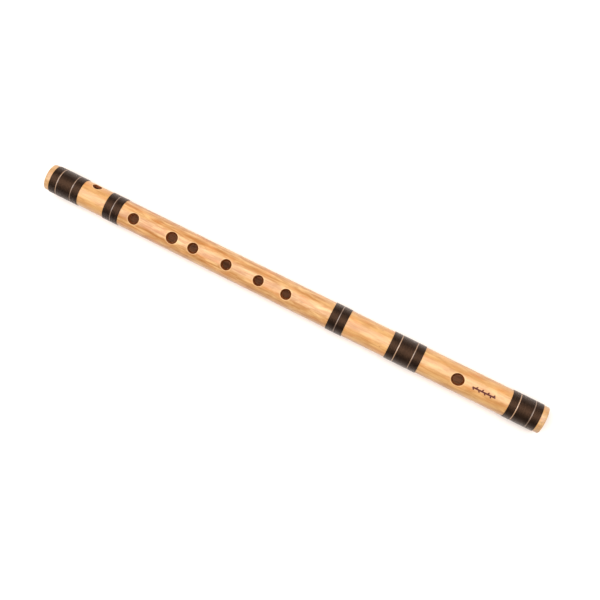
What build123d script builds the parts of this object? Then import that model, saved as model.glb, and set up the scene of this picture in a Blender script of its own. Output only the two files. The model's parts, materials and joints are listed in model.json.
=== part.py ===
from build123d import *

import math
import os

# A side-blown bamboo flute, the length that sounds G4 with every hole closed.
#
# The flute lies along X with its foot, the open end, at -X and its head, the blown end, at +X.
# The finger holes and the blow hole face +Z. The tuning hole near the foot is turned towards +Y.
# The origin is on the resting surface, below the middle of the flute. Units are millimetres.

# ---- the bamboo tube ----
TUBE_LENGTH = 510.0
TUBE_RADIUS = 12.8
BORE_RADIUS = 10.0
SEAT_RADIUS = 10.3  # the head's bore is reamed wider for the stopper
SEAT_DEPTH = 74.0  # from the head's end
END_CHAMFER = 0.8
BORE_CHAMFER = 0.5

# ---- thread ----
THREAD = 0.48  # black thread, one turn beside the next
BLACK_HEIGHT = 0.45  # how far a black winding stands above the bamboo
PALE_WIDTH = 0.9  # two turns of a thinner, pale thread
PALE_HEIGHT = 0.35

# ---- heights ----
AXIS_Z = TUBE_RADIUS + BLACK_HEIGHT  # the windings rest on the surface
FOOT_X = -TUBE_LENGTH / 2

# ---- holes, as (distance of the centre from the foot, radius) ----
FINGER_HOLES = [
    (93.6, 5.4),
    (134.1, 5.7),
    (156.1, 5.2),
    (190.7, 5.2),
    (224.0, 5.1),
    (252.3, 5.1),
]
TUNING_HOLE = (47.1, 4.5)
TUNING_TURN = 68.0  # degrees round the tube from the line of finger holes
DRILL_CLEARANCE = 1.0  # how far outside the tube each hole's outline is drawn
BLOW_HOLE_X = 424.9  # from the foot
BLOW_HOLE_LONG = 6.2  # half its length along the tube
BLOW_HOLE_WIDE = 5.6  # half its width round the tube

# ---- stopper ----
STOPPER_X = 445.0  # its inner face, from the foot
STOPPER_LENGTH = 20.0
STOPPER_RADIUS = 10.25
STOPPER_CHAMFER = 0.6

# ---- bindings, as (name, distance of the start from the foot, turns in each black winding) ----
BINDINGS = [
    ("foot", 5.1, (15, 30, 15)),
    ("lower", 63.1, (16, 15)),
    ("middle", 297.1, (16, 16)),
    ("upper", 356.7, (16, 30, 16)),
    ("head", 474.7, (15, 28, 15)),
]


def across(distance_from_foot):
    """The plane across the tube at this distance from the foot, facing the head."""
    return Plane(origin=(FOOT_X + distance_from_foot, 0, AXIS_Z), x_dir=(0, 1, 0), z_dir=(1, 0, 0))


def over_hole(distance_from_foot, turn=0.0):
    """The plane just clear of the tube over a hole, turned this many degrees from +Z towards +Y."""
    way_out = Vector(0, math.sin(math.radians(turn)), math.cos(math.radians(turn)))
    centre = Vector(FOOT_X + distance_from_foot, 0, AXIS_Z) + way_out * (TUBE_RADIUS + DRILL_CLEARANCE)
    return Plane(origin=centre, x_dir=(1, 0, 0), z_dir=way_out)


def make_tube():
    """The bamboo: a straight bore, a wider seat at the head, and eight holes through one wall."""
    with BuildPart() as tube:
        with BuildSketch(across(0)):
            Circle(TUBE_RADIUS)
            Circle(BORE_RADIUS, mode=Mode.SUBTRACT)
        extrude(amount=TUBE_LENGTH)
        with BuildSketch(across(TUBE_LENGTH - SEAT_DEPTH)):
            Circle(SEAT_RADIUS)
        extrude(amount=SEAT_DEPTH, mode=Mode.SUBTRACT)
        for end in (tube.faces().sort_by(Axis.X)[0], tube.faces().sort_by(Axis.X)[-1]):
            rims = end.edges().sort_by(SortBy.RADIUS)
            chamfer(rims[-1], END_CHAMFER)
            chamfer(rims[0], BORE_CHAMFER)
        to_the_axis = -(TUBE_RADIUS + DRILL_CLEARANCE)
        for distance, radius in FINGER_HOLES:
            with BuildSketch(over_hole(distance)):
                Circle(radius)
            extrude(amount=to_the_axis, mode=Mode.SUBTRACT)
        with BuildSketch(over_hole(TUNING_HOLE[0], TUNING_TURN)):
            Circle(TUNING_HOLE[1])
        extrude(amount=to_the_axis, mode=Mode.SUBTRACT)
        with BuildSketch(over_hole(BLOW_HOLE_X)):
            Ellipse(BLOW_HOLE_LONG, BLOW_HOLE_WIDE)
        extrude(amount=to_the_axis, mode=Mode.SUBTRACT)
    tube.part.label = "bamboo_tube"
    return tube.part


def make_stopper():
    """The cork that closes the head's bore beyond the blow hole, with both its edges eased."""
    with BuildPart() as stopper:
        with BuildSketch(across(STOPPER_X)):
            Circle(STOPPER_RADIUS)
        extrude(amount=STOPPER_LENGTH)
        chamfer(stopper.edges().filter_by(GeomType.CIRCLE), STOPPER_CHAMFER)
    stopper.part.label = "cork_stopper"
    return stopper.part


def make_winding(name, start, width, height):
    """Thread wound tightly round the bamboo, as a band of this width and height."""
    with BuildPart() as winding:
        with BuildSketch(across(start)):
            Circle(TUBE_RADIUS + height)
            Circle(TUBE_RADIUS, mode=Mode.SUBTRACT)
        extrude(amount=width)
    winding.part.label = name
    return winding.part


def make_binding(name, start, turns):
    """One binding: black windings from the foot's side to the head's, with a pale one in each gap."""
    pieces = []
    edge = start
    for number, count in enumerate(turns, 1):
        if number > 1:
            pieces.append(make_winding(f"{name}_pale_thread_{number - 1}", edge, PALE_WIDTH, PALE_HEIGHT))
            edge += PALE_WIDTH
        pieces.append(make_winding(f"{name}_winding_{number}", edge, count * THREAD, BLACK_HEIGHT))
        edge += count * THREAD
    return pieces


flute = [make_tube(), make_stopper()]
for binding in BINDINGS:
    flute += make_binding(*binding)

os.makedirs("parts", exist_ok=True)
for piece in flute:
    export_step(piece, f"parts/{piece.label}.step")
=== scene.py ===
"""The looks of a side-blown bamboo flute: its tube, thread bindings and cork, in a plain studio.

Sizes in this file are in millimetres until a mesh is made. Blender's own units are metres.
The flute lies along X with its open foot at -X. Its finger holes and blow hole face +Z.
"""

import json
import math
import random
from functools import partial

import bmesh
import bpy
from bpy.props import FloatProperty, FloatVectorProperty, IntProperty, PointerProperty
from mathutils import Matrix, Vector, noise


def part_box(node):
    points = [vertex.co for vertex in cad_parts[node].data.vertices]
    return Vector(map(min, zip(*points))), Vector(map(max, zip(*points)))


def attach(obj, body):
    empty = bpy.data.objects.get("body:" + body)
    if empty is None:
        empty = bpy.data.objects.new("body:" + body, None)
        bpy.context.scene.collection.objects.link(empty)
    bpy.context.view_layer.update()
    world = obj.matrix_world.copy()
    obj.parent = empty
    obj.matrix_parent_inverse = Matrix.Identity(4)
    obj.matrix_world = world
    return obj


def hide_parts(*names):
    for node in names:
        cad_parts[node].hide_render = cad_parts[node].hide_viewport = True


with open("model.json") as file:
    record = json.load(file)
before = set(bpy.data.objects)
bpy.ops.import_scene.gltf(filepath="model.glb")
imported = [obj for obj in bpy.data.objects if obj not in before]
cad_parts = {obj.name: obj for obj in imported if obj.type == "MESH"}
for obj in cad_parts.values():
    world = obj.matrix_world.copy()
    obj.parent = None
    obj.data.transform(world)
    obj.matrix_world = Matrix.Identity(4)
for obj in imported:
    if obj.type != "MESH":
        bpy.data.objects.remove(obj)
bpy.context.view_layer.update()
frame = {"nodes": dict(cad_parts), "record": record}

bl_info = {
    "name": "Side-blown bamboo flute",
    "version": (1, 0, 0),
    "blender": (4, 5, 0),
    "location": "View3D > Sidebar > Flute",
    "description": "Builds the looks of a bamboo flute on its CAD frame",
    "category": "Object",
}

MM = 0.001


# ---- places read from the frame ----


def box_mm(node):
    """The lowest and highest corner of a CAD node."""
    low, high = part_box(node)
    return low / MM, high / MM


def opening_mm(name):
    """The middle and the half size of one of the record's openings."""
    openings = frame["record"]["physics"]["openings"]
    low, high = next(o["box_m"] for o in openings if o["name"] == name)
    low, high = Vector(low) / MM, Vector(high) / MM
    return (low + high) / 2, (high - low) / 2


def mount(name):
    """One of the record's mounts."""
    return next(m for m in frame["record"]["mounts"] if m["name"] == name)


TUBE_LOW, TUBE_HIGH = box_mm("bamboo_tube")
FOOT_X, HEAD_X = TUBE_LOW.x, TUBE_HIGH.x
AXIS_Z = (TUBE_LOW.z + TUBE_HIGH.z) / 2
TUBE_RADIUS = (TUBE_HIGH.z - TUBE_LOW.z) / 2
FOOT_BORE = mount("foot_bore")
BORE_RADIUS = FOOT_BORE["dims"]["r_mm"]
SEAT_X = FOOT_BORE["pos_m"][0] / MM + FOOT_BORE["dims"]["length_mm"]
STOPPER_LOW, STOPPER_HIGH = box_mm("cork_stopper")
STOPPER_RADIUS = (STOPPER_HIGH.z - STOPPER_LOW.z) / 2
SEAT_CLEARANCE = 0.05
SEAT_RADIUS = STOPPER_RADIUS + SEAT_CLEARANCE

BLACK_WINDINGS = sorted(n for n in frame["nodes"] if "_winding_" in n)
PALE_THREADS = sorted(n for n in frame["nodes"] if "_pale_thread_" in n)
LOWER_BINDING_X = box_mm("lower_pale_thread_1")[0].x
MIDDLE_BINDING_X = box_mm("middle_pale_thread_1")[0].x


# ---- settings that a user would change ----


def linear(code):
    """An sRGB hex colour as a linear RGBA colour."""
    channels = [int(code[i : i + 2], 16) / 255 for i in (0, 2, 4)]
    return tuple(c / 12.92 if c <= 0.04045 else ((c + 0.055) / 1.055) ** 2.4 for c in channels) + (1.0,)


COLOUR_FIELD = {"subtype": "COLOR", "size": 4, "min": 0, "max": 1}


class FluteTubeSettings(bpy.types.PropertyGroup):
    """The bamboo's colours and the finish of its edges."""

    skin: FloatVectorProperty(
        name="Bamboo", description="The oiled skin", default=linear("CEA269"), **COLOUR_FIELD
    )
    ochre: FloatVectorProperty(
        name="Ochre", description="Streaks and clouds in the skin", default=linear("9C622C"), **COLOUR_FIELD
    )
    burnt: FloatVectorProperty(
        name="Burnt wall",
        description="The walls of the holes, opened with a hot iron",
        default=linear("74390F"),
        **COLOUR_FIELD,
    )
    bore: FloatVectorProperty(
        name="Bore", description="The inside of the tube", default=linear("DE9868"), **COLOUR_FIELD
    )
    lip: FloatProperty(
        name="Hole lip", description="Rounding of the edge of each hole, in mm", default=0.4, min=0.1, max=0.5
    )
    rim: FloatProperty(
        name="End rounding",
        description="Radius of the outer edge at both ends, in mm",
        default=0.8,
        min=0.2,
        max=0.8,
    )


class FluteThreadSettings(bpy.types.PropertyGroup):
    """The two threads that bind the tube."""

    black: FloatVectorProperty(
        name="Black thread", description="The waxed cotton", default=linear("0D0806"), **COLOUR_FIELD
    )
    pale: FloatVectorProperty(
        name="Pale thread", description="The silk thread", default=linear("AA8464"), **COLOUR_FIELD
    )
    thickness: FloatProperty(
        name="Black thread thickness",
        description="From one turn to the next, in mm",
        default=0.48,
        min=0.25,
        max=1.5,
    )
    pale_turns: IntProperty(
        name="Pale turns", description="Turns in each pale line", default=2, min=1, max=4
    )


class FluteStopperSettings(bpy.types.PropertyGroup):
    """The cork."""

    cork: FloatVectorProperty(
        name="Cork", description="The cut cork", default=linear("B98B5E"), **COLOUR_FIELD
    )
    chamfer: FloatProperty(
        name="Cork edge", description="Width of the eased edges, in mm", default=0.6, min=0.1, max=2.0
    )


class FluteStageSettings(bpy.types.PropertyGroup):
    """The camera and the light."""

    lens: FloatProperty(
        name="Lens", description="Focal length in mm on a 36 mm sensor", default=55.8, min=20, max=200
    )
    distance: FloatProperty(
        name="Distance",
        description="From the camera to the flute's axis",
        default=0.8583,
        unit="LENGTH",
        min=0.3,
        max=5,
    )
    aim: FloatProperty(
        name="Aim",
        description="Where along the flute the camera looks",
        default=0.0101,
        unit="LENGTH",
        min=-0.3,
        max=0.3,
    )
    turn: FloatProperty(
        name="Turn",
        description="How far the flute slopes down to the right",
        default=math.radians(26.35),
        subtype="ANGLE",
    )
    tilt: FloatProperty(
        name="Tilt",
        description="How much nearer the head is than the foot",
        default=math.radians(5.5),
        subtype="ANGLE",
    )
    roll: FloatProperty(
        name="Roll",
        description="How far the line of holes is rolled down from the camera",
        default=math.radians(5.5),
        subtype="ANGLE",
    )
    ambient: FloatProperty(
        name="Ambient", description="Radiance of the white room", default=0.25, min=0, max=10
    )
    key: FloatProperty(
        name="Key", description="Radiance of the overhead softbox", default=4.4, min=0, max=100
    )


# ---- meshes ----


def on_tube(x, angle, radius):
    """The point at this angle round the tube, from +Z towards +Y, in metres."""
    return Vector((x, radius * math.sin(angle), AXIS_Z + radius * math.cos(angle))) * MM


def object_from(bm, name, materials, body, replaced):
    """Turn a bmesh into a piece that rides on a body and stands for a CAD node."""
    mesh = bpy.data.meshes.new(name)
    bmesh.ops.recalc_face_normals(bm, faces=bm.faces)
    bm.to_mesh(mesh)
    bm.free()
    mesh.shade_smooth()
    for material in materials:
        mesh.materials.append(material)
    piece = bpy.data.objects.new(name, mesh)
    bpy.context.scene.collection.objects.link(piece)
    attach(piece, body)
    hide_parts(replaced)


def bridge(bm, first, second, material):
    """Quads between two closed rows of vertices of the same length."""
    count = len(first)
    for k in range(count):
        after = (k + 1) % count
        bm.faces.new((first[k], first[after], second[after], second[k])).material_index = material


# ---- the bamboo tube ----

COLUMNS = 96  # round the tube
STATION = 2.5  # the longest step along it
ROUNDING = 1e-6  # keeps a span of exactly so many steps from taking one more
SKIN, WALL, BORE, END = range(4)  # the tube's material slots

PATCH_COLUMNS = 20  # the part of the tube's girth that is remade round a hole
PATCH_STATIONS = 16
PATCH_MARGIN = 2.8  # a patch runs this far past its hole
SPREAD = (0.3, 0.55, 0.75, 0.9, 0.97)  # how far each ring of a patch lies from its edge to the lip
# the skin is painted paler on the rounded edges of the holes and ends: partly sanded skin, partly a painted
# highlight where the rounding catches the light
PALE_EDGE_AND_HIGHLIGHT_STARTS = 0.8  # from this far on, the skin lightens towards the lip
WALL_RINGS = (0.2, 0.5, 0.8)  # how far down a hole's wall each ring lies
FACE_RINGS = (0.25, 0.5, 0.75)  # how far across a sawn end each ring lies
ARC = [math.radians(a) for a in (0, 30, 60, 90)]  # the rings of a rounded edge
SKIN_STRIPS = 2  # of a rounded end's three strips, those that still have the skin's finish

INSCRIBED = math.sqrt(2)  # times half the side of the square that fits in a round hole, for its radius
BOX_CLEARANCE = 0.05  # an opening's corners stand this far inside its hole
TAPER = 1.5  # each hole is this much narrower at the bore
BORE_LIP = 0.2  # rounding of a hole's edge in the bore
RIM_INNER = 0.5  # rounding of the bore's edge at both ends
SEAT_STEP = 0.3  # length of the step from the bore to the cork's seat

SKIN_DEPTH = 0.05  # the skin lies this far inside the CAD tube, so that no swell stands out of it
SWELL = 0.03  # how far one side of the tube swells while the other hollows
SWELL_WAVE = 41  # how far along the tube the swell's wave takes to move on by a radian
SWELL_START = 1.3
SWELL_SIDE = 0.7
OVALNESS = 0.6  # how far the tube is out of round, as a share of the swell
OVAL_WAVE = 57  # how far along the tube the oval takes to move on by a radian


class Hole:
    """A hole in the tube: its middle, its angle, its half sizes and the length that its patch takes."""

    def __init__(self, x, angle, along, across):
        self.x = x
        self.angle = angle
        self.along = along
        self.across = across
        self.reach = along + PATCH_MARGIN
        middle = round(angle / math.tau * COLUMNS)
        self.columns = range(middle - PATCH_COLUMNS // 2, middle + PATCH_COLUMNS // 2 + 1)

    def rim(self, bearing, grow):
        """The distance from the hole's middle to its edge, grown outwards, along a bearing."""
        a, b = self.along + grow, self.across + grow
        return a * b / math.hypot(b * math.cos(bearing), a * math.sin(bearing))

    def first_station(self, stations):
        """The number of the station where the patch starts."""
        return min(range(len(stations)), key=lambda i: abs(stations[i] - (self.x - self.reach)))


def find_holes():
    """Every hole, from the openings in the record, whose boxes fit just inside each round edge."""
    holes = []
    for opening in frame["record"]["physics"]["openings"]:
        name = opening["name"]
        if not name.endswith("_hole") and not name.startswith("finger_hole"):
            continue
        middle, half = opening_mm(name)
        angle = math.atan2(middle.y, middle.z - AXIS_Z)
        along = half.x * INSCRIBED + BOX_CLEARANCE
        # only the blow hole is longer than it is wide
        across = half.y * INSCRIBED + BOX_CLEARANCE if name == "blow_hole" else along
        holes.append(Hole(middle.x, angle, along, across))
    return sorted(holes, key=lambda hole: hole.x)


def skin_radius(x, angle):
    """Bamboo is never quite round: it swells, hollows and is oval by a few hundredths of a millimetre."""
    swell = math.sin(x / SWELL_WAVE + SWELL_START) * math.cos(angle - SWELL_SIDE)
    oval = OVALNESS * math.sin(2 * angle + x / OVAL_WAVE)
    return TUBE_RADIUS - SKIN_DEPTH + SWELL * (swell + oval)


def bore_radius(x, angle):
    """The bore, the same at every angle, and beyond a short step the wider seat of the cork."""
    step = min(max((x - SEAT_X) / SEAT_STEP, 0.0), 1.0)
    return BORE_RADIUS + (SEAT_RADIUS - BORE_RADIUS) * step


def stations_along(holes, rim):
    """Where the tube's rings stand: evenly between the ends, the patches and the bore's step."""
    ends_and_seat = (FOOT_X + rim, SEAT_X, SEAT_X + SEAT_STEP, HEAD_X - rim)
    breaks = [(x, STATION) for x in ends_and_seat]
    for hole in holes:
        breaks.append((hole.x - hole.reach, STATION))
        breaks.append((hole.x + hole.reach, 2 * hole.reach / PATCH_STATIONS))
    breaks.sort()
    stations = [breaks[0][0]]
    for end, step in breaks[1:]:
        start = stations[-1]
        count = max(1, math.ceil((end - start) / step - ROUNDING))
        stations += [start + (end - start) * k / count for k in range(1, count + 1)]
    return stations


def add_patch(bm, pale_edge_and_highlight_layer, hole, stations, outer, inner, lip):
    """Quads from a rectangle of the skin to the hole, over its lip, down its wall and out over the bore."""
    first = hole.first_station(stations)
    last = first + PATCH_STATIONS
    low, high = hole.columns[0], hole.columns[-1]
    edge = [(i, low) for i in range(first, last)]
    edge += [(last, j) for j in range(low, high)]
    edge += [(i, high) for i in range(last, first, -1)]
    edge += [(first, j) for j in range(high, low, -1)]
    offsets = [(stations[i] - hole.x, math.tau * j / COLUMNS - hole.angle) for i, j in edge]
    bearings = [math.atan2(TUBE_RADIUS * math.sin(turn), along) for along, turn in offsets]

    def ring(surface, rise, grow, share=1.0, light=0.0):
        """One ring round the hole, this far above a surface and this much wider than the hole.

        With a share under 1 it is drawn out towards the patch's edge.
        """
        made = []
        for (along, turn), bearing in zip(offsets, bearings):
            radius = surface(hole.x + along, hole.angle + turn) + rise
            reach = hole.rim(bearing, grow)
            u = along + (reach * math.cos(bearing) - along) * share
            edge_v = radius * math.sin(turn)
            v = edge_v + (reach * math.sin(bearing) - edge_v) * share
            vertex = bm.verts.new(on_tube(hole.x + u, hole.angle + math.asin(v / radius), radius))
            vertex[pale_edge_and_highlight_layer] = light
            made.append(vertex)
        return made

    rows = [([outer[i][j % COLUMNS] for i, j in edge], SKIN)]
    # the rings next to the lip, and the rounded lip itself, are marked to be painted paler: sanded skin and a
    # painted highlight
    for share in SPREAD:
        light = max(0.0, (share - PALE_EDGE_AND_HIGHLIGHT_STARTS) / (1 - PALE_EDGE_AND_HIGHLIGHT_STARTS))
        rows.append((ring(skin_radius, 0.0, lip, share, light), SKIN))
    for arc in ARC:
        drop, grow = lip * (1 - math.cos(arc)), lip * (1 - math.sin(arc))
        rows.append((ring(skin_radius, -drop, grow, light=1.0), SKIN))
    wall = TUBE_RADIUS - SKIN_DEPTH - lip - bore_radius(hole.x, hole.angle) - BORE_LIP
    for share in WALL_RINGS:
        rows.append((ring(bore_radius, BORE_LIP + wall * (1 - share), -TAPER * share), WALL))
    for arc in reversed(ARC):
        rise, grow = BORE_LIP * (1 - math.cos(arc)), BORE_LIP * (1 - math.sin(arc)) - TAPER
        rows.append((ring(bore_radius, rise, grow), WALL))
    for share in reversed(SPREAD):
        rows.append((ring(bore_radius, 0.0, BORE_LIP - TAPER, share), BORE))
    rows.append(([inner[i][j % COLUMNS] for i, j in edge], BORE))
    for (row, _), (following, material) in zip(rows, rows[1:]):
        bridge(bm, row, following, material)


def add_end(bm, pale_edge_and_highlight_layer, end_x, inward, outer_ring, inner_ring, rim):
    """The rounded outer edge, the sawn face and the eased edge of the bore at one end."""
    bore = bore_radius(end_x, 0.0)
    face_top, face_bottom = TUBE_RADIUS - SKIN_DEPTH - rim, bore + RIM_INNER
    # the rounded outer edge is marked to be painted paler: sanded skin and a painted highlight
    profile = [(rim * (1 - math.sin(arc)), face_top + rim * math.cos(arc), 1.0) for arc in ARC[1:]]
    for share in FACE_RINGS:
        profile.append((0.0, face_top + (face_bottom - face_top) * share, 0.0))
    for arc in reversed(ARC):
        profile.append((RIM_INNER * (1 - math.sin(arc)), bore + RIM_INNER * (1 - math.cos(arc)), 0.0))
    rows = [outer_ring]
    for depth, radius, light in profile:
        row = []
        for j in range(COLUMNS):
            row.append(bm.verts.new(on_tube(end_x + inward * depth, math.tau * j / COLUMNS, radius)))
            row[-1][pale_edge_and_highlight_layer] = light
        rows.append(row)
    rows.append(inner_ring)
    for number, (row, following) in enumerate(zip(rows, rows[1:])):
        bridge(bm, row, following, SKIN if number < SKIN_STRIPS else END)


def remade_by_patches(holes, stations):
    """The quads that the patches remake, and the points inside the patches, as (station, column)."""
    cells, points = set(), set()
    for hole in holes:
        first = hole.first_station(stations)
        for i in range(first, first + PATCH_STATIONS):
            for j in hole.columns[:-1]:
                cells.add((i, j % COLUMNS))
                if i > first and j > hole.columns[0]:
                    points.add((i, j % COLUMNS))
    return cells, points


def tube_ring(bm, station, x, surface, left_out):
    """The points round the tube at one station, with None for each that is left out."""
    row = []
    for j in range(COLUMNS):
        angle = math.tau * j / COLUMNS
        kept = (station, j) not in left_out
        row.append(bm.verts.new(on_tube(x, angle, surface(x, angle))) if kept else None)
    return row


def tube_mesh(lip, rim):
    """The whole tube as one closed skin of quads."""
    bm = bmesh.new()
    # marks where the skin is painted paler: sanded skin, and a painted highlight on the rounded edges
    pale_edge_and_highlight_layer = bm.verts.layers.float.new("lip")
    holes = find_holes()
    stations = stations_along(holes, rim)
    cells, points = remade_by_patches(holes, stations)
    outer, inner = [], []
    for i, x in enumerate(stations):
        outer.append(tube_ring(bm, i, x, skin_radius, points))
        inner.append(tube_ring(bm, i, x, bore_radius, points))
    for i in range(len(stations) - 1):
        for j in range(COLUMNS):
            if (i, j) in cells:
                continue
            after = (j + 1) % COLUMNS
            for rings, material in ((outer, SKIN), (inner, BORE)):
                corners = (rings[i][j], rings[i][after], rings[i + 1][after], rings[i + 1][j])
                bm.faces.new(corners).material_index = material
    for hole in holes:
        add_patch(bm, pale_edge_and_highlight_layer, hole, stations, outer, inner, lip)
    add_end(bm, pale_edge_and_highlight_layer, FOOT_X, 1, outer[0], inner[0], rim)
    add_end(bm, pale_edge_and_highlight_layer, HEAD_X, -1, outer[-1], inner[-1], rim)
    return bm


# ---- thread ----

THREAD_COLUMNS = 72  # round the tube
THREAD_STEPS = 6  # from one groove to the next
TUCK = 0.1  # how far below the tube's nominal surface a winding reaches, to sit in the skin
SLACK = 0.03  # a loose turn stands out this much less than a tight one
ROUNDNESS = 0.4  # thread pulled this tight flattens, so the grooves are shallower than round thread has


def thread_mesh(start, end, turns, height, seed):
    """Thread wound round the tube, each turn beside the last, a little uneven as hands leave it.

    A turn moves along by only one thread's width, so each is drawn as a closed ring.
    """
    bm = bmesh.new()
    tone_layer = bm.verts.layers.float.new("tone")
    chance = random.Random(seed)
    pitch = (end - start) / turns
    crest = pitch / 2 * ROUNDNESS
    groove = TUBE_RADIUS + height - crest
    profile = []
    for turn in range(turns):
        tone, slack = chance.random(), chance.uniform(0.0, SLACK)
        for step in range(THREAD_STEPS):
            share = step / THREAD_STEPS
            swell = crest * math.sqrt(1 - (2 * share - 1) ** 2)
            profile.append((start + pitch * (turn + share), groove + swell - slack, tone))
    profile.insert(0, (start, TUBE_RADIUS - TUCK, profile[0][2]))
    profile += [(end, groove, tone), (end, TUBE_RADIUS - TUCK, tone)]
    rows = []
    for x, radius, tone in profile:
        row = []
        for j in range(THREAD_COLUMNS):
            row.append(bm.verts.new(on_tube(x, math.tau * j / THREAD_COLUMNS, radius)))
            row[-1][tone_layer] = tone
        rows.append(row)
    for row, following in zip(rows, rows[1:] + rows[:1]):
        bridge(bm, row, following, 0)
    return bm


# ---- the cork ----

CORK_COLUMNS = 72  # round the cork
CORK_STEP = 0.5  # along it
CORK_RINGS = 12  # across each end
EASE_ALONG, EASE_IN = 0.4, 0.35  # the middle of an eased edge, as shares of its width
DENT_SIZE = 1.6
DENT_DEPTH = 0.03
PORE_SIZE = 0.9
PORE_STARTS = 0.35  # how strong the noise is at a pore's edge
PORE_DEPTH = 0.9  # for each unit of noise above that
PORE_SHIFT = Vector((40, 0, 0))  # so that the pores don't follow the dents


def cork_outline(chamfer):
    """The cork's outline from one end to the other, as (x, radius, facing).

    Facing is 1 or -1, the way into the cork, on a flat end, and 0 elsewhere.
    """
    low, high = STOPPER_LOW.x, STOPPER_HIGH.x
    end = [(low, (STOPPER_RADIUS - chamfer) * k / CORK_RINGS, 1) for k in range(1, CORK_RINGS + 1)]
    end.append((low + chamfer * EASE_ALONG, STOPPER_RADIUS - chamfer * EASE_IN, 0))
    end.append((low + chamfer, STOPPER_RADIUS, 0))
    straight = high - low - 2 * chamfer
    count = round(straight / CORK_STEP)
    side = [(low + chamfer + straight * k / count, STOPPER_RADIUS, 0) for k in range(1, count)]
    return end + side + [(low + high - x, radius, -facing) for x, radius, facing in reversed(end)]


def cork_mesh(chamfer):
    """A cut cork: straight, eased at both edges, with soft dents and shallow pores."""
    bm = bmesh.new()
    rows = []
    for x, radius, facing in cork_outline(chamfer):
        row = []
        for j in range(CORK_COLUMNS):
            angle = math.tau * j / CORK_COLUMNS
            outwards = Vector((0, math.sin(angle), math.cos(angle)))
            inwards = Vector((facing, 0, 0)) if facing else -outwards
            point = Vector((x, 0, 0)) + radius * outwards
            pore = max(0.0, noise.noise(point / PORE_SIZE + PORE_SHIFT) - PORE_STARTS)
            dent = DENT_DEPTH * (1 + noise.noise(point / DENT_SIZE)) + PORE_DEPTH * pore
            place = point + inwards * dent + Vector((0, 0, AXIS_Z))
            row.append(bm.verts.new(place * MM))
        rows.append(row)
    for row, following in zip(rows, rows[1:]):
        bridge(bm, row, following, 0)
    bm.faces.new(rows[0])
    bm.faces.new(rows[-1])
    return bm


# ---- materials ----

# A mix takes its share at input 0 and its two numbers at 2 and 3, or its two colours at 6 and 7.
# A map range takes its value at input 0, its source range at 1 and 2, and its target range at 3 and 4.
COLOURS = {"data_type": "RGBA", "output": 2}


def add_node(tree, kind, inputs=None, output=0, **settings):
    """Add a shader node and give back one of its outputs. An input is a value, or another node's output."""
    made = tree.nodes.new("ShaderNode" + kind)
    for name, setting in settings.items():
        setattr(made, name, setting)
    for socket, value in (inputs or {}).items():
        if isinstance(value, bpy.types.NodeSocket):
            tree.links.new(value, made.inputs[socket])
        else:
            made.inputs[socket].default_value = value
    return made.outputs[output] if made.outputs else None


def start_material(name):
    """A new material, the call that adds a node to it, and the place on the surface in millimetres."""
    material = bpy.data.materials.new(name)
    material.use_nodes = True
    material.node_tree.nodes.clear()
    node = partial(add_node, material.node_tree)
    metres = node("TexCoord", output="Object")
    return material, node, node("VectorMath", {0: metres, "Scale": 1 / MM}, operation="SCALE")


def grain(node, place, along, across, seed, detail=3.0):
    """Noise drawn out along the flute: its features are this long and this wide, in millimetres."""
    stretch, shift = (1 / along, 1 / across, 1 / across), (seed, seed, seed)
    drawn_out = node("VectorMath", {0: place, 1: stretch, 2: shift}, operation="MULTIPLY_ADD")
    return node("TexNoise", {"Vector": drawn_out, "Scale": 1.0, "Detail": detail})


def from_axis(node, place):
    """The distance from the flute's axis, in millimetres."""
    apart = node("VectorMath", {0: place, 1: (0, 0, AXIS_Z)}, operation="SUBTRACT")
    flat = node("VectorMath", {0: apart, 1: (0, 1, 1)}, operation="MULTIPLY")
    return node("VectorMath", {0: flat}, output="Value", operation="LENGTH")


# small natural marks: (from the foot, degrees from the finger holes towards +Y, length, width)
BROWN_MARKS = [
    (315.2, 18.5, 1.8, 0.7),
    (345.7, 48.5, 3.6, 0.6),
    (349.5, -21.5, 2.2, 1.0),
    (418.2, -36.6, 1.0, 0.6),
]
MARK_CORE, MARK_EDGE = 0.3, 1.1  # a mark is full inside the first and gone at the second, in its half sizes


def brown_marks(node, place):
    """1 in the middle of each natural mark, falling to 0 at its edge."""
    total = 0.0
    for from_foot, degrees, length, width in BROWN_MARKS:
        angle = math.radians(degrees)
        middle = (FOOT_X + from_foot, TUBE_RADIUS * math.sin(angle), AXIS_Z + TUBE_RADIUS * math.cos(angle))
        apart = node("VectorMath", {0: place, 1: middle}, operation="SUBTRACT")
        to_unit = (2 / length, 2 / width, 2 / width)
        rounded = node("VectorMath", {0: apart, 1: to_unit}, operation="MULTIPLY")
        distance = node("VectorMath", {0: rounded}, output="Value", operation="LENGTH")
        mark = node("MapRange", {0: distance, 1: MARK_EDGE, 2: MARK_CORE}, interpolation_type="SMOOTHSTEP")
        total = node("Math", {0: mark, 1: total}, operation="MAXIMUM")
    return total


ORNAMENT_START = 14.4  # from the middle of the blow hole
ORNAMENT_LENGTH = 22.4
LEAF_PITCH = 2.8
LEAF_LENGTH = 2.3
LEAF_WIDTH = 2.1
LEAF_SLANT = 0.8  # how far a leaf leans out from the stem for each millimetre along it
STEM_WIDTH = 1.5
CHAR_FADE = (-0.06, 0.1)  # the burn fades out between these depths inside the drawn outline


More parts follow.
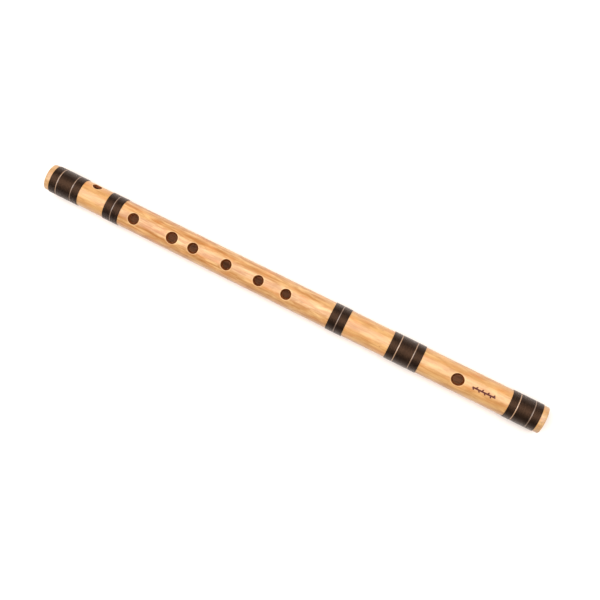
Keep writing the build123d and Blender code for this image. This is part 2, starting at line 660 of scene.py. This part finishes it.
def burnt_ornament(node, place):
    """1 on a thin stem with slanted leaves on alternate sides, burnt in beside the blow hole."""
    blow_hole, _ = opening_mm("blow_hole")
    x, y, z = (node("SeparateXYZ", {0: place}, output=axis) for axis in "XYZ")
    along = node("Math", {0: x, 1: blow_hole.x + ORNAMENT_START}, operation="SUBTRACT")
    leaf_count = node("Math", {0: along, 1: LEAF_PITCH}, operation="DIVIDE")
    share = node("Math", {0: leaf_count}, operation="FRACT")
    odd = node("Math", {0: node("Math", {0: leaf_count}, operation="FLOOR"), 1: 1.0}, operation="PINGPONG")
    side = node("Math", {0: odd, 1: 2.0, 2: -1.0}, operation="MULTIPLY_ADD")
    outwards = node("Math", {0: y, 1: side}, operation="MULTIPLY")
    lean = node("Math", {0: share, 1: -LEAF_PITCH * LEAF_SLANT, 2: outwards}, operation="MULTIPLY_ADD")
    from_midrib = node("Math", {0: lean}, operation="ABSOLUTE")
    half_turn = node("MapRange", {0: share, 2: LEAF_LENGTH / LEAF_PITCH, 4: math.pi})
    arch = node("Math", {0: half_turn}, operation="SINE")
    half_leaf = node("Math", {0: arch, 1: LEAF_WIDTH / 2}, operation="MULTIPLY")
    leaf = node("Math", {0: half_leaf, 1: from_midrib}, operation="SUBTRACT")
    from_stem = node("Math", {0: y}, operation="ABSOLUTE")
    stem = node("Math", {0: STEM_WIDTH / 2, 1: from_stem}, operation="SUBTRACT")
    depth = node("Math", {0: leaf, 1: stem}, operation="MAXIMUM")
    shape = node("MapRange", {0: depth, 1: CHAR_FADE[0], 2: CHAR_FADE[1]}, interpolation_type="SMOOTHSTEP")
    inside = node("Math", {0: along, 1: ORNAMENT_LENGTH / 2, 2: ORNAMENT_LENGTH / 2}, operation="COMPARE")
    on_top = node("Math", {0: z, 1: AXIS_Z}, operation="GREATER_THAN")
    burnt = node("Math", {0: shape, 1: inside}, operation="MULTIPLY")
    return node("Math", {0: burnt, 1: on_top}, operation="MULTIPLY")


STRONG_UNTIL = 30  # past the lower binding
FADED_FROM = 80  # before the middle binding
STRONG, FADED, PLAIN = 1.45, 1.2, 0.75  # strengths of the mottling


def mottling(node, place):
    """1 between the lower and the middle binding, and how strongly the skin is mottled.

    It is most mottled just past the lower binding, less and less towards the middle one, and plain elsewhere.
    """
    x = node("SeparateXYZ", {0: place})
    past_lower = node("Math", {0: x, 1: LOWER_BINDING_X}, operation="GREATER_THAN")
    before_middle = node("Math", {0: x, 1: MIDDLE_BINDING_X}, operation="LESS_THAN")
    fingers = node("Math", {0: past_lower, 1: before_middle}, operation="MULTIPLY")
    start, end = LOWER_BINDING_X + STRONG_UNTIL, MIDDLE_BINDING_X - FADED_FROM
    fading = node("MapRange", {0: x, 1: start, 2: end, 3: STRONG, 4: FADED})
    return fingers, node("Mix", {0: fingers, 2: PLAIN, 3: fading})


# ochre clouds and streaks, as (length, width, place in the noise, where it starts, where it is full, share)
CLOUDS = [
    (22, 5.0, 11.0, 0.38, 0.66, 0.6),
    (26, 2.2, 7.0, 0.42, 0.66, 0.55),
    (12, 2.8, 23.0, 0.5, 0.66, 0.5),
    (9, 1.5, 41.0, 0.55, 0.66, 0.35),
]
BLUSH_LENGTH, BLUSH_WIDTH = 18, 6.0  # soft orange patches
FIBRE_LENGTH, FIBRE_WIDTH = 45, 0.4  # real fibres are half as wide, too fine to show
SPECK_LENGTH, SPECK_WIDTH = 1.8, 1.1  # specks of soil near both ends
DRY_STARTS = 5.5  # this far from each end, the skin begins to look dry and speckled
DRY_FULL = 3.5
PALER = 0.22  # how far the skin between the lower and the middle binding goes towards a paler one
# how far the rounded edges are painted paler: sanded skin, and a painted highlight where they catch the light
PALE_EDGE_AND_HIGHLIGHT = 0.4


def oiled_bamboo(settings):
    """Bamboo skin, scraped, sanded and oiled: a satin yellow-tan with fine straight fibres.

    Between the lower and the middle binding it is paler, with stronger ochre clouds and streaks.
    """
    material, node, place = start_material("oiled_bamboo")
    fingers, strength = mottling(node, place)
    pale_share = node("Math", {0: fingers, 1: PALER}, operation="MULTIPLY")
    colour = node("Mix", {0: pale_share, 6: settings.skin, 7: linear("E2C494")}, **COLOURS)
    for length, width, seed, low, high, share in CLOUDS:
        cloud = node("MapRange", {0: grain(node, place, length, width, seed), 1: low, 2: high, 4: share})
        amount = node("Math", {0: cloud, 1: strength}, operation="MULTIPLY")
        colour = node("Mix", {0: amount, 6: colour, 7: settings.ochre}, **COLOURS)
    orange = grain(node, place, BLUSH_LENGTH, BLUSH_WIDTH, 31.0)
    blush = node("MapRange", {0: orange, 1: 0.5, 2: 0.7, 4: 0.35})
    colour = node("Mix", {0: blush, 6: colour, 7: linear("CC7F45")}, **COLOURS)
    streaks = grain(node, place, FIBRE_LENGTH, FIBRE_WIDTH, 3.0, detail=2.0)
    fibres = node("MapRange", {0: streaks, 1: 0.35, 2: 0.65})
    fibre_share = node("Math", {0: fibres, 1: 0.2}, operation="MULTIPLY")
    colour = node("Mix", {0: fibre_share, 6: colour, 7: linear("8A5526")}, **COLOURS)
    # the rounded edges of the holes and ends are painted paler: partly sanded skin, partly a painted
    # highlight
    lip = node("Attribute", attribute_name="lip", output="Fac")
    pale_edge_and_highlight_share = node("Math", {0: lip, 1: PALE_EDGE_AND_HIGHLIGHT}, operation="MULTIPLY")
    colour = node("Mix", {0: pale_edge_and_highlight_share, 6: colour, 7: linear("DDB684")}, **COLOURS)
    mark_share = node("Math", {0: brown_marks(node, place), 1: 0.6}, operation="MULTIPLY")
    colour = node("Mix", {0: mark_share, 6: colour, 7: linear("7A4420")}, **COLOURS)
    from_middle = node("Math", {0: node("SeparateXYZ", {0: place})}, operation="ABSOLUTE")
    near_end = node("MapRange", {0: from_middle, 1: HEAD_X - DRY_STARTS, 2: HEAD_X - DRY_FULL})
    dry_share = node("Math", {0: near_end, 1: 0.3}, operation="MULTIPLY")
    colour = node("Mix", {0: dry_share, 6: colour, 7: linear("A88E72")}, **COLOURS)
    soiled = grain(node, place, SPECK_LENGTH, SPECK_WIDTH, 17.0)
    specks = node("MapRange", {0: soiled, 1: 0.5, 2: 0.64, 4: 0.5})
    speck_share = node("Math", {0: specks, 1: near_end}, operation="MULTIPLY")
    colour = node("Mix", {0: speck_share, 6: colour, 7: linear("8A6A4C")}, **COLOURS)
    ornament = burnt_ornament(node, place)
    colour = node("Mix", {0: ornament, 6: colour, 7: linear("4C160A")}, **COLOURS)
    satin = node("MapRange", {0: fibres, 3: 0.26, 4: 0.36})
    charred = node("Math", {0: ornament, 1: -1.0}, operation="MULTIPLY")
    height = node("Math", {0: fibres, 1: 0.25, 2: charred}, operation="MULTIPLY_ADD")
    shader = node("BsdfPrincipled", {
        "Base Color": colour,
        "Roughness": node("Mix", {0: ornament, 2: satin, 3: 0.8}),
        "IOR": 1.5,
        "Normal": node("Bump", {"Height": height, "Distance": 0.06 * MM}),
    })
    node("OutputMaterial", {"Surface": shader})
    return material


CHAR_SIZE = 0.8  # patches of char on a burnt wall


def burnt_bamboo(settings):
    """The walls of the holes, opened with a hot iron: dark red-brown, charred in patches, and dull."""
    material, node, place = start_material("burnt_bamboo")
    char = grain(node, place, CHAR_SIZE, CHAR_SIZE, 0.0)
    charred = node("MapRange", {0: char, 1: 0.35, 2: 0.7})
    shader = node("BsdfPrincipled", {
        "Base Color": node("Mix", {0: charred, 6: settings.burnt, 7: linear("2A1006")}, **COLOURS),
        "Roughness": 0.62,
        "IOR": 1.5,
        "Specular IOR Level": 0.15,
        "Normal": node("Bump", {"Height": char, "Distance": 0.08 * MM}),
    })
    node("OutputMaterial", {"Surface": shader})
    return material


SCORCH_LENGTH, SCORCH_WIDTH = 40, 4.0
BORE_FIBRE_LENGTH, BORE_FIBRE_WIDTH = 30, 0.5  # the inner fibres are coarser than the skin's


def scorched_bore(settings):
    """The bore, cleared with a hot rod and sanded: tan, with long scorched streaks and coarse fibres."""
    material, node, place = start_material("scorched_bore")
    heated = grain(node, place, SCORCH_LENGTH, SCORCH_WIDTH, 0.0)
    scorch = node("MapRange", {0: heated, 1: 0.4, 2: 0.7, 4: 0.6})
    fibres = grain(node, place, BORE_FIBRE_LENGTH, BORE_FIBRE_WIDTH, 5.0, detail=2.0)
    fibre_share = node("MapRange", {0: fibres, 1: 0.35, 2: 0.75, 4: 0.35})
    scorched = node("Mix", {0: scorch, 6: settings.bore, 7: linear("6A432A")}, **COLOURS)
    shader = node("BsdfPrincipled", {
        "Base Color": node("Mix", {0: fibre_share, 6: scorched, 7: linear("4A2C1A")}, **COLOURS),
        "Roughness": 0.7,
        "IOR": 1.5,
        "Normal": node("Bump", {"Height": fibres, "Distance": 0.1 * MM}),
    })
    node("OutputMaterial", {"Surface": shader})
    return material


BUNDLE_SPACING = 0.55  # from one fibre bundle to the next
SOIL_SIZE = 1.5


def sawn_bamboo():
    """The sawn ends: dry tan end grain, dotted with cut bundles of fibre, more strongly near the skin."""
    material, node, place = start_material("sawn_bamboo")
    from_bundle = node("TexVoronoi", {"Vector": place, "Scale": 1 / BUNDLE_SPACING})
    dots = node("MapRange", {0: from_bundle, 1: 0.42, 2: 0.18})
    strength = node("MapRange", {0: from_axis(node, place), 1: BORE_RADIUS, 2: TUBE_RADIUS, 3: 0.35, 4: 0.85})
    dot_share = node("Math", {0: dots, 1: strength}, operation="MULTIPLY")
    dust = grain(node, place, SOIL_SIZE, SOIL_SIZE, 0.0)
    soil = node("MapRange", {0: dust, 1: 0.45, 2: 0.75, 4: 0.45})
    dotted = node("Mix", {0: dot_share, 6: linear("DDC09A"), 7: linear("9A7450")}, **COLOURS)
    shader = node("BsdfPrincipled", {
        "Base Color": node("Mix", {0: soil, 6: dotted, 7: linear("7A6048")}, **COLOURS),
        "Roughness": 0.7,
        "IOR": 1.5,
        "Normal": node("Bump", {"Height": dots, "Distance": 0.05 * MM}),
    })
    node("OutputMaterial", {"Surface": shader})
    return material


PLY_SLANT = 9.0  # radians of the twist for each millimetre across the thread
COTTON_LAY = 0.7  # from one ply's ridge to the next, as on real thread of this thickness
SILK_LAY = 0.5
FUZZ_SIZE = 2.5  # worn patches on the cotton
RUB_SIZE = 5  # rubbed patches on the silk


def twist(node, place, lay):
    """The plies of a twisted thread: a slanted ridge every lay millimetres round the tube."""
    apart = node("VectorMath", {0: place, 1: (0, 0, AXIS_Z)}, operation="SUBTRACT")
    x, y, z = (node("SeparateXYZ", {0: apart}, output=axis) for axis in "XYZ")
    angle = node("Math", {0: y, 1: z}, operation="ARCTAN2")
    slant = node("Math", {0: x, 1: PLY_SLANT}, operation="MULTIPLY")
    phase = node("Math", {0: angle, 1: math.tau * TUBE_RADIUS / lay, 2: slant}, operation="MULTIPLY_ADD")
    return node("MapRange", {0: node("Math", {0: phase}, operation="SINE"), 1: -1.0})


def waxed_cotton(settings):
    """Black-brown cotton thread, drawn through wax: dull at its sides, with a soft brown sheen on top."""
    material, node, place = start_material("waxed_cotton")
    tone = node("Attribute", attribute_name="tone", output="Fac")
    plies = twist(node, place, COTTON_LAY)
    fuzz = grain(node, place, FUZZ_SIZE, FUZZ_SIZE, 0.0)
    dye = node("Mix", {0: tone, 6: settings.black, 7: linear("1C120C")}, **COLOURS)
    worn = node("MapRange", {0: fuzz, 1: 0.45, 2: 0.75, 4: 0.4})
    shader = node("BsdfPrincipled", {
        "Base Color": node("Mix", {0: worn, 6: dye, 7: linear("0E0806")}, **COLOURS),
        "Roughness": node("MapRange", {0: plies, 3: 0.22, 4: 0.3}),
        "IOR": 1.5,
        "Specular Tint": linear("E4AC88"),
        "Specular IOR Level": 0.44,
        "Normal": node("Bump", {"Height": plies, "Distance": 0.05 * MM}),
    })
    node("OutputMaterial", {"Surface": shader})
    return material


def mercerised_silk(settings):
    """Pale gold-brown silk, pulled tight: its lustre is nearly white on top and brown at its sides."""
    material, node, place = start_material("mercerised_silk")
    plies = twist(node, place, SILK_LAY)
    tone = node("Attribute", attribute_name="tone", output="Fac")
    uneven = node("Mix", {0: 0.5, 2: grain(node, place, RUB_SIZE, RUB_SIZE, 2.0), 3: tone})
    rubbed = node("MapRange", {0: uneven, 1: 0.3, 2: 0.7})
    rubbed_share = node("Math", {0: rubbed, 1: 0.9}, operation="MULTIPLY")
    shader = node("BsdfPrincipled", {
        "Base Color": node("Mix", {0: rubbed_share, 6: settings.pale, 7: linear("513A2B")}, **COLOURS),
        "Roughness": node("MapRange", {0: rubbed, 3: 0.14, 4: 0.34}),
        "IOR": 1.55,
        "Specular IOR Level": 1.0,
        "Normal": node("Bump", {"Height": plies, "Distance": 0.03 * MM}),
    })
    node("OutputMaterial", {"Surface": shader})
    return material


CELL_SIZE = 0.9  # real cells are 0.04 mm across, too fine to show, so clumps of them are drawn
CRACK_SIZE = 1.4


def cut_cork(settings):
    """Natural cork, cut across: soft tan cells with dark brown pores and cracks."""
    material, node, place = start_material("cut_cork")
    cell_colour = node("TexVoronoi", {"Vector": place, "Scale": 1 / CELL_SIZE}, output="Color")
    cell = node("SeparateColor", {0: cell_colour})
    cell_share = node("Math", {0: cell, 1: 0.45}, operation="MULTIPLY")
    dark = grain(node, place, CRACK_SIZE, CRACK_SIZE, 0.0, detail=4.0)
    cracks = node("MapRange", {0: dark, 1: 0.6, 2: 0.7})
    cells = node("Mix", {0: cell_share, 6: settings.cork, 7: linear("8F633C")}, **COLOURS)
    sunk = node("Math", {0: cracks, 1: -1.0}, operation="MULTIPLY")
    height = node("Math", {0: cell, 1: 0.3, 2: sunk}, operation="MULTIPLY_ADD")
    shader = node("BsdfPrincipled", {
        "Base Color": node("Mix", {0: cracks, 6: cells, 7: linear("4A2D18")}, **COLOURS),
        "Roughness": 0.85,
        "IOR": 1.4,
        "Normal": node("Bump", {"Height": height, "Distance": 0.12 * MM}),
    })
    node("OutputMaterial", {"Surface": shader})
    return material


TOOTH_SIZE = 0.6  # a real paper's tooth is a third of this, too fine to show


def white_paper():
    """Seamless white studio paper: matte, faintly warm in the shade, with a fine tooth."""
    material, node, place = start_material("white_paper")
    tooth = grain(node, place, TOOTH_SIZE, TOOTH_SIZE, 0.0, detail=2.0)
    share = node("MapRange", {0: tooth, 1: 0.3, 2: 0.7, 4: 0.3})
    shader = node("BsdfPrincipled", {
        "Base Color": node("Mix", {0: share, 6: linear("F1E7E0"), 7: linear("EEE3DC")}, **COLOURS),
        "Roughness": 0.9,
        "IOR": 1.4,
        "Normal": node("Bump", {"Height": tooth, "Distance": 0.01 * MM}),
    })
    node("OutputMaterial", {"Surface": shader})
    return material


# ---- operators ----


PALE_SEEDS = 100  # past the black windings' seeds


class FLUTE_OT_tube(bpy.types.Operator):
    """Build the bamboo tube with its bore and its holes."""

    bl_idname = "flute.tube"
    bl_label = "Bamboo tube"

    def execute(self, context):
        settings = context.scene.flute_tube
        bm = tube_mesh(settings.lip, settings.rim)
        if not all(edge.is_manifold for edge in bm.edges):
            raise RuntimeError("the tube's skin isn't closed")
        materials = [oiled_bamboo(settings), burnt_bamboo(settings), scorched_bore(settings), sawn_bamboo()]
        object_from(bm, "flute_tube", materials, "flute", "bamboo_tube")
        return {"FINISHED"}


class FLUTE_OT_windings(bpy.types.Operator):
    """Wind the black thread of every binding."""

    bl_idname = "flute.windings"
    bl_label = "Black windings"

    def execute(self, context):
        settings = context.scene.flute_thread
        material = waxed_cotton(settings)
        for seed, node in enumerate(BLACK_WINDINGS):
            low, high = box_mm(node)
            turns = round((high.x - low.x) / settings.thickness)
            height = (high.z - low.z) / 2 - TUBE_RADIUS
            bm = thread_mesh(low.x, high.x, turns, height, seed)
            object_from(bm, f"{node}_thread", [material], "flute", node)
        return {"FINISHED"}


class FLUTE_OT_pale_threads(bpy.types.Operator):
    """Wind the pale thread that lies in the gaps between the black windings."""

    bl_idname = "flute.pale_threads"
    bl_label = "Pale threads"

    def execute(self, context):
        settings = context.scene.flute_thread
        material = mercerised_silk(settings)
        for seed, node in enumerate(PALE_THREADS, start=PALE_SEEDS):
            low, high = box_mm(node)
            height = (high.z - low.z) / 2 - TUBE_RADIUS
            bm = thread_mesh(low.x, high.x, settings.pale_turns, height, seed)
            object_from(bm, f"{node}_line", [material], "flute", node)
        return {"FINISHED"}


class FLUTE_OT_stopper(bpy.types.Operator):
    """Cut the cork that closes the head's bore."""

    bl_idname = "flute.stopper"
    bl_label = "Cork stopper"

    def execute(self, context):
        settings = context.scene.flute_stopper
        bm = cork_mesh(settings.chamfer)
        object_from(bm, "stopper_cork", [cut_cork(settings)], "stopper", "cork_stopper")
        return {"FINISHED"}


# ---- the studio, in metres ----

SENSOR_WIDTH = 36.0  # millimetres
NEAREST, FURTHEST = 0.01, 50.0  # what the camera can see
SOFTBOX_PLACE = (-0.13, 0.24, 1.3)
SOFTBOX_SIZE = (2.4, 1.5)
FLOOR_REACH = 4.0  # from the flute, each way
FLOOR_SQUARES = 24


def add_camera(settings):
    """Look down on the flute so that it slopes across the frame with its head nearer and lower."""
    tilt, turn, roll = settings.tilt, settings.turn, settings.roll
    along = Vector((math.cos(tilt) * math.cos(turn), -math.cos(tilt) * math.sin(turn), math.sin(tilt)))
    facing = (Vector((0, 0, 1)) - math.sin(tilt) * along).normalized()
    across = facing.cross(along)
    up = math.cos(roll) * facing - math.sin(roll) * across
    sideways = math.cos(roll) * across + math.sin(roll) * facing
    # the rows of this matrix are the flute's axes as the camera sees them
    rotation = Matrix((along, sideways, up)).to_4x4()
    data = bpy.data.cameras.new("studio_camera")
    data.sensor_width = SENSOR_WIDTH
    data.lens = settings.lens
    data.clip_start = NEAREST
    data.clip_end = FURTHEST
    camera = bpy.data.objects.new("studio_camera", data)
    target = Vector((settings.aim, 0, AXIS_Z * MM))
    backwards = rotation @ Vector((0, 0, 1))
    camera.matrix_world = Matrix.Translation(target + backwards * settings.distance) @ rotation
    bpy.context.scene.collection.objects.link(camera)
    bpy.context.scene.camera = camera


def add_softbox(name, place, size, radiance):
    """A rectangular softbox that faces the flute. Its power follows from its radiance and its area."""
    data = bpy.data.lights.new(name, "AREA")
    data.shape = "RECTANGLE"
    data.size, data.size_y = size
    data.energy = radiance * math.pi * size[0] * size[1]
    light = bpy.data.objects.new(name, data)
    light.location = place
    light.rotation_mode = "QUATERNION"
    light.rotation_quaternion = (-Vector(place)).to_track_quat("-Z", "Y")
    light.visible_camera = False
    bpy.context.scene.collection.objects.link(light)


def add_floor():
    """A wide sheet of white paper under the flute."""
    bm = bmesh.new()
    bmesh.ops.create_grid(bm, x_segments=FLOOR_SQUARES, y_segments=FLOOR_SQUARES, size=FLOOR_REACH)
    mesh = bpy.data.meshes.new("paper_floor")
    bm.to_mesh(mesh)
    bm.free()
    mesh.materials.append(white_paper())
    floor = bpy.data.objects.new("paper_floor", mesh)
    bpy.context.scene.collection.objects.link(floor)


def add_room(radiance):
    """Even white light from all round."""
    world = bpy.data.worlds.new("white_room")
    world.use_nodes = True
    tree = world.node_tree
    tree.nodes.clear()
    background = add_node(tree, "Background", {"Color": linear("FFFFFF"), "Strength": radiance})
    add_node(tree, "OutputWorld", {"Surface": background})
    bpy.context.scene.world = world


class FLUTE_OT_stage(bpy.types.Operator):
    """Lay out the floor, the light and the camera."""

    bl_idname = "flute.stage"
    bl_label = "Studio"

    def execute(self, context):
        settings = context.scene.flute_stage
        add_floor()
        add_room(settings.ambient)
        add_softbox("key_softbox", SOFTBOX_PLACE, SOFTBOX_SIZE, settings.key)
        add_camera(settings)
        context.scene.view_settings.view_transform = "Standard"
        return {"FINISHED"}


class FLUTE_PT_sidebar(bpy.types.Panel):
    """The flute's tab in the sidebar."""

    bl_idname = "FLUTE_PT_sidebar"
    bl_label = "Bamboo flute"
    bl_space_type = "VIEW_3D"
    bl_region_type = "UI"
    bl_category = "Flute"

    def draw(self, context):
        for operators, group in SECTIONS:
            column = self.layout.column(align=True)
            settings = getattr(context.scene, group)
            for prop in settings.bl_rna.properties:
                if prop.identifier not in ("rna_type", "name"):
                    column.prop(settings, prop.identifier)
            for operator in operators:
                column.operator(operator.bl_idname)


SECTIONS = [
    ([FLUTE_OT_tube], "flute_tube"),
    ([FLUTE_OT_windings, FLUTE_OT_pale_threads], "flute_thread"),
    ([FLUTE_OT_stopper], "flute_stopper"),
    ([FLUTE_OT_stage], "flute_stage"),
]
GROUPS = {
    "flute_tube": FluteTubeSettings,
    "flute_thread": FluteThreadSettings,
    "flute_stopper": FluteStopperSettings,
    "flute_stage": FluteStageSettings,
}


def register():
    """Make the settings, the operators and the panel known to Blender."""
    for name, group in GROUPS.items():
        bpy.utils.register_class(group)
        setattr(bpy.types.Scene, name, PointerProperty(type=group))
    for operators, _ in SECTIONS:
        for operator in operators:
            bpy.utils.register_class(operator)
    bpy.utils.register_class(FLUTE_PT_sidebar)


def unregister():
    """Take them all away again."""
    bpy.utils.unregister_class(FLUTE_PT_sidebar)
    for operators, _ in reversed(SECTIONS):
        for operator in reversed(operators):
            bpy.utils.unregister_class(operator)
    for name, group in reversed(GROUPS.items()):
        delattr(bpy.types.Scene, name)
        bpy.utils.unregister_class(group)


def main():
    """Build every piece and the stage, in order."""
    register()
    bpy.ops.flute.tube()
    bpy.ops.flute.windings()
    bpy.ops.flute.pale_threads()
    bpy.ops.flute.stopper()
    bpy.ops.flute.stage()


if __name__ == "__main__":
    main()
